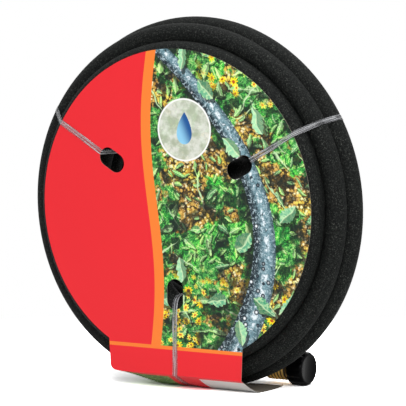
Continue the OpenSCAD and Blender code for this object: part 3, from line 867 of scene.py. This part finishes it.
def garden_picture(tree, where, across, up):
    """Garden bed: bark chips, undergrowth, leaves, a wet line of hose, flowers and a close-up."""
    leaves, daisies = leaf_group(), daisy_group()
    swirl = tree.noise(where, 34.0, 2.0, output="Color")
    swirl = tree.vector("SUBTRACT", swirl, (0.5, 0.5, 0.5))
    bent = tree.vector("ADD", where, tree.vector("MULTIPLY", swirl, (0.016, 0.016, 0.0)))
    patches = tree.noise(tree.vector("ADD", where, (0.37, 0.21, 0.0)), 14.0, 5.0, 0.6)
    picture = tree.mix(tree.band(patches, 0.455, 0.49), bark_chips(tree, where),
                       undergrowth(tree, where))
    shade = tree.noise(tree.vector("ADD", where, (0.7, 0.4, 0.0)), 52.0, 5.0, 0.6)
    picture = tree.mix(tree.times(tree.band(shade, 0.50, 0.42), 0.88), picture,
                       (0.002, 0.010, 0.006))
    picture = shaded_leaves(tree, leaves, picture, bent, (0.0, 0.0), 88.0, (0.56, 0.18), 0.42,
                            (0.014, 0.240, 0.050), (0.36, 0.78, 0.12))
    picture = shaded_leaves(tree, leaves, picture, bent, (0.31, 0.12), 52.0, (0.50, 0.21), 0.36,
                            (0.020, 0.330, 0.110), (0.50, 0.88, 0.28))
    for shift, shape in (((0.17, 0.41), (0.50, 0.030)), ((0.83, 0.19), (0.48, 0.024))):
        picture = shaded_leaves(tree, leaves, picture, bent, shift, 17.0, shape, 0.55,
                                (0.020, 0.380, 0.140), (0.42, 0.90, 0.46))
    flowers = ((64.0, 9.0, 0.48, (0.22, 0.61), (0.98, 0.70, 0.015), (0.40, 0.07, 0.01)),
               (92.0, 7.0, 0.384, (0.41, 0.05), (0.98, 0.86, 0.12), (0.72, 0.16, 0.01)))
    low = tree.band(up, -0.055, -0.100)
    high = tree.times(tree.band(up, 0.09, 0.13), tree.band(across, 0.02, 0.06))
    spread = tree.noise(tree.vector("ADD", where, (0.11, 0.83, 0.0)), 21.0, 2.0)
    bloom = tree.times(tree.larger(low, high), tree.band(spread, 0.42, 0.50))
    for scale, petals, share, shift, petal_colour, middle in flowers:
        moved = tree.vector("ADD", bent, (*shift, 0.0))
        daisy = use(tree, daisies, {"Where": moved, "Scale": scale, "Size": 0.34,
                                    "Petals": petals, "Share": share})
        picture = tree.mix(tree.times(bloom, daisy["Petal"]), picture, petal_colour)
        picture = tree.mix(tree.times(bloom, daisy["Middle"]), picture, middle)
    dapple = tree.noise(tree.vector("ADD", where, (0.9, 0.2, 0.0)), 36.0, 5.0, 0.65)
    picture = tree.mix(tree.times(tree.band(dapple, 0.48, 0.41), 0.85), picture,
                       (0.002, 0.010, 0.007))
    picture = tree.mix(tree.times(tree.band(dapple, 0.50, 0.60), 0.70), picture,
                       (0.80, 0.95, 0.55), "OVERLAY")
    picture = wet_line(tree, picture, where, across, up)
    picture = shaded_leaves(tree, leaves, picture, bent, (0.53, 0.27), 30.0, (0.48, 0.24), 0.24,
                            (0.030, 0.330, 0.170), (0.36, 0.78, 0.46))
    return close_up(tree, picture, where, across, up)


RED = (0.84, 0.018, 0.028)
ORANGE = (0.96, 0.225, 0.030)


def printed_card():
    """Coated board: print on the front and on the underside of the flap, grey board behind.

    The print is a wavy red field, an orange stripe along it and a garden picture.
    """
    material, tree, shader, where = new_material("printed_card", Specular_IOR_Level=0.3)
    stripe_at, stripe_w = -0.036, 0.0125
    foot_at, foot_line_at = -0.1585, -0.1545
    soil_to, panel_from, flap_from = -0.012, 0.028, (4.0 - MID_Y) * MM
    across, deep, high = tree.split(where)
    folded = tree.larger(0.0, tree.minus(deep, -MID_Y * MM))
    up = tree.minus(high, tree.plus(folded, AXIS_Z * MM))
    flat = tree.join(across, up)
    sway = tree.times(tree.math("SINE", tree.times(up, 17.0)), 0.009)
    slant = tree.plus(across, sway)
    print_colour = garden_picture(tree, flat, across, up)
    print_colour = tree.mix(tree.below(slant, stripe_at + stripe_w), print_colour, ORANGE)
    print_colour = tree.mix(tree.below(slant, stripe_at), print_colour, RED)
    underside = tree.above(deep, flap_from)
    soil = tree.times(underside, tree.below(across, soil_to))
    foot = tree.times(tree.below(up, foot_at), tree.minus(1.0, soil))
    print_colour = tree.mix(soil, print_colour,
                            tree.mix(0.42, undergrowth(tree, flat), (0.16, 0.075, 0.010)))
    print_colour = tree.mix(foot, print_colour, RED)
    foot_line = tree.times(tree.below(up, foot_line_at), tree.above(up, foot_at))
    print_colour = tree.mix(foot_line, print_colour, ORANGE)
    panel = tree.times(underside, tree.above(across, panel_from))
    print_colour = tree.mix(panel, print_colour, (0.80, 0.79, 0.76))

    normal = tree.split(tree.add("ShaderNodeNewGeometry").outputs["True Normal"])
    facing = tree.larger(tree.times(normal[1], -1.0), tree.times(normal[2], -1.0))
    behind = tree.times(underside, tree.above(normal[2], 0.25))
    front = tree.times(tree.above(facing, 0.45), tree.minus(1.0, behind))
    grain = grains(tree, where, 900.0, 0.58)
    board = tree.mix(grain["Speck"], (0.22, 0.19, 0.15), (0.31, 0.275, 0.225))
    tree.feed(shader["Base Color"], tree.mix(front, board, print_colour))
    smudge = smudges(tree, where, 18.0, 0.4)
    gloss = tree.plus(tree.times(smudge, 0.2), 0.30)
    rough = tree.plus(gloss, tree.times(tree.minus(1.0, front), 0.4))
    tree.feed(shader["Roughness"], rough)
    waves = tree.bump(tree.noise(where, 9.0, 2.0), 0.25, 0.004)
    tree.feed(shader["Normal"], tree.bump(grain["Height"], 0.12, 0.0003, waves))
    return material


def tie_plastic(name, angle):
    """Clear stretched strap: pale strands that run along it, with darker gaps between, and a
    painted highlight of near-white streaks on the brightest strands.
    """
    material, tree, shader, where = new_material(name, Roughness=0.28, Specular_IOR_Level=0.6)
    centred = tree.vector("SUBTRACT", where, (0.0, 0.0, AXIS_Z * MM))
    a = math.radians(angle)
    width = tree.vector("DOT_PRODUCT", centred, (-math.sin(a), 0.0, math.cos(a)))
    along = tree.vector("DOT_PRODUCT", centred, (math.cos(a), 0.0, math.sin(a)))
    depth = tree.split(where)[1]
    run = tree.join(tree.times(width, 1500.0), tree.times(along, 16.0), tree.times(depth, 16.0))
    strands = tree.noise(run, 1.0, 3.0, 0.6)
    pale = tree.band(strands, 0.44, 0.60)
    # glint is a painted highlight: near-white streaks along the strands, mixed into the colour
    # below.
    glint = tree.band(strands, 0.56, 0.66)
    colour = tree.mix(pale, (0.12, 0.12, 0.13), (0.42, 0.43, 0.45))
    tree.feed(shader["Base Color"], tree.mix(glint, colour, (0.92, 0.93, 0.95)))
    clear = tree.plus(tree.times(pale, 0.22), 0.20)
    tree.feed(shader["Alpha"], tree.plus(clear, tree.times(glint, 0.40)))
    tree.feed(shader["Normal"], tree.bump(strands, 0.6, 0.0007))
    return material


def paint(piece, material):
    """Gives the piece this one material."""
    piece.data.materials.clear()
    piece.data.materials.append(material)


paint(hose, hose_rubber())
coupling_brass = turned_brass("coupling_brass", (0.82, 0.62, 0.28), (0.66, 0.46, 0.17), 0.20, 0.25)
cap_plastic = plastic("cap_plastic", (0.0014, 0.0014, 0.0018), (0.0034, 0.0034, 0.0038), 0.08,
                      300.0, 0.0004, Specular_IOR_Level=0.045)
washer_rubber = plastic("washer_rubber", (0.012, 0.012, 0.012), (0.03, 0.03, 0.03), 0.55,
                        900.0, 0.0003)
restrictor_plastic = plastic("restrictor_plastic", (0.72, 0.72, 0.69), (0.82, 0.82, 0.79), 0.35,
                             1200.0, 0.0002)

for piece in (outlet_stem, inlet_tail, swivel_nut):
    paint(piece, coupling_brass)
paint(cap, cap_plastic)
paint(outlet_crimp, crimped_brass("outlet_crimp_brass", OUTLET, True))
paint(inlet_crimp, crimped_brass("inlet_crimp_brass", INLET, False))
for name in ("inlet_washer", "end_cap_washer"):
    paint(nodes[name], washer_rubber)
paint(nodes["flow_restrictor"], restrictor_plastic)
paint(nodes["display_card"], printed_card())
# Each tie, with the angle at which it crosses the card, from the right.
for name, angle in (("tie_left", 150), ("tie_right", 30), ("tie_bottom", 270)):
    paint(nodes[name], tie_plastic(name + "_plastic", angle))


# ------------------------------------------------------------------ stage and light
def make_floor():
    """Pale round floor that brightens to plain white away from the object."""
    rings, sides, just_below = np.array([0.0001, 0.4, 0.8, 1.6, 3.0]) * 1000, 64, -0.05
    fade_from, fade_to = 0.34, 0.62
    t = np.arange(sides) * TURN / sides
    points = np.stack([rings[:, None] * np.cos(t), rings[:, None] * np.sin(t),
                       np.full((len(rings), sides), just_below)], -1).reshape(-1, 3)
    faces = grid_faces(len(rings), sides)[:, ::-1].tolist()
    floor = mesh_piece("floor", points, faces, smooth=False)
    material = bpy.data.materials.new("floor_white")
    material.use_nodes = True
    tree = Tree(material.node_tree)
    tree.tree.nodes.clear()
    light = tree.add("ShaderNodeLightPath").outputs
    direct = tree.larger(light["Is Camera Ray"], light["Is Transmission Ray"])
    seen = tree.larger(direct, light["Is Glossy Ray"])
    bright = tree.plus(tree.plus(0.80, tree.times(seen, 0.15)), tree.times(direct, 2.6))
    colour = tree.add("ShaderNodeCombineColor", {0: bright, 1: bright, 2: bright}).outputs[0]
    ground = tree.add("ShaderNodeBsdfDiffuse", {"Color": colour}).outputs[0]
    white = tree.add("ShaderNodeEmission", {"Color": (1, 1, 1, 1), "Strength": 1.0}).outputs[0]
    where = tree.add("ShaderNodeTexCoord").outputs["Object"]
    far = tree.times(tree.band(tree.vector("LENGTH", where), fade_from, fade_to), seen)
    mixed = tree.add("ShaderNodeMixShader", {0: far, 1: ground, 2: white}).outputs[0]
    tree.feed(tree.add("ShaderNodeOutputMaterial").inputs["Surface"], mixed)
    paint(floor, material)


def make_world():
    """White where it is seen or mirrored, and a softer fill on everything else."""
    world = bpy.data.worlds.new("studio")
    bpy.context.scene.world = world
    world.use_nodes = True
    tree = Tree(world.node_tree)
    light = tree.add("ShaderNodeLightPath").outputs
    mirrored = tree.larger(light["Is Glossy Ray"], light["Is Transmission Ray"])
    seen = tree.larger(light["Is Camera Ray"], mirrored)
    fill = 0.46
    strength = tree.plus(fill, tree.times(seen, 1 - fill))
    background = world.node_tree.nodes["Background"]
    tree.feed(background.inputs["Color"], (1, 1, 1, 1))
    tree.feed(background.inputs["Strength"], strength)


def soft_lamp(name, position, target, size, power):
    """Round area lamp that shines from a position at a target, in metres and watts."""
    data = bpy.data.lights.new(name, "AREA")
    data.shape, data.size, data.energy = "DISK", size, power
    lamp = bpy.data.objects.new(name, data)
    lamp.location = position
    lamp.rotation_euler = (Vector(target) - Vector(position)).to_track_quat("-Z", "Y").to_euler()
    bpy.context.scene.collection.objects.link(lamp)


make_floor()
make_world()
COIL_MIDDLE = (0, 0, 0.2)
soft_lamp("key", (1.2, -1.9, 1.3), COIL_MIDDLE, 1.2, 26.0)
soft_lamp("top", (0.2, 0.1, 2.2), COIL_MIDDLE, 1.4, 24.0)
soft_lamp("side", (2.1, -0.9, 0.9), COIL_MIDDLE, 1.0, 11.0)

bpy.context.scene.view_settings.view_transform = "Standard"
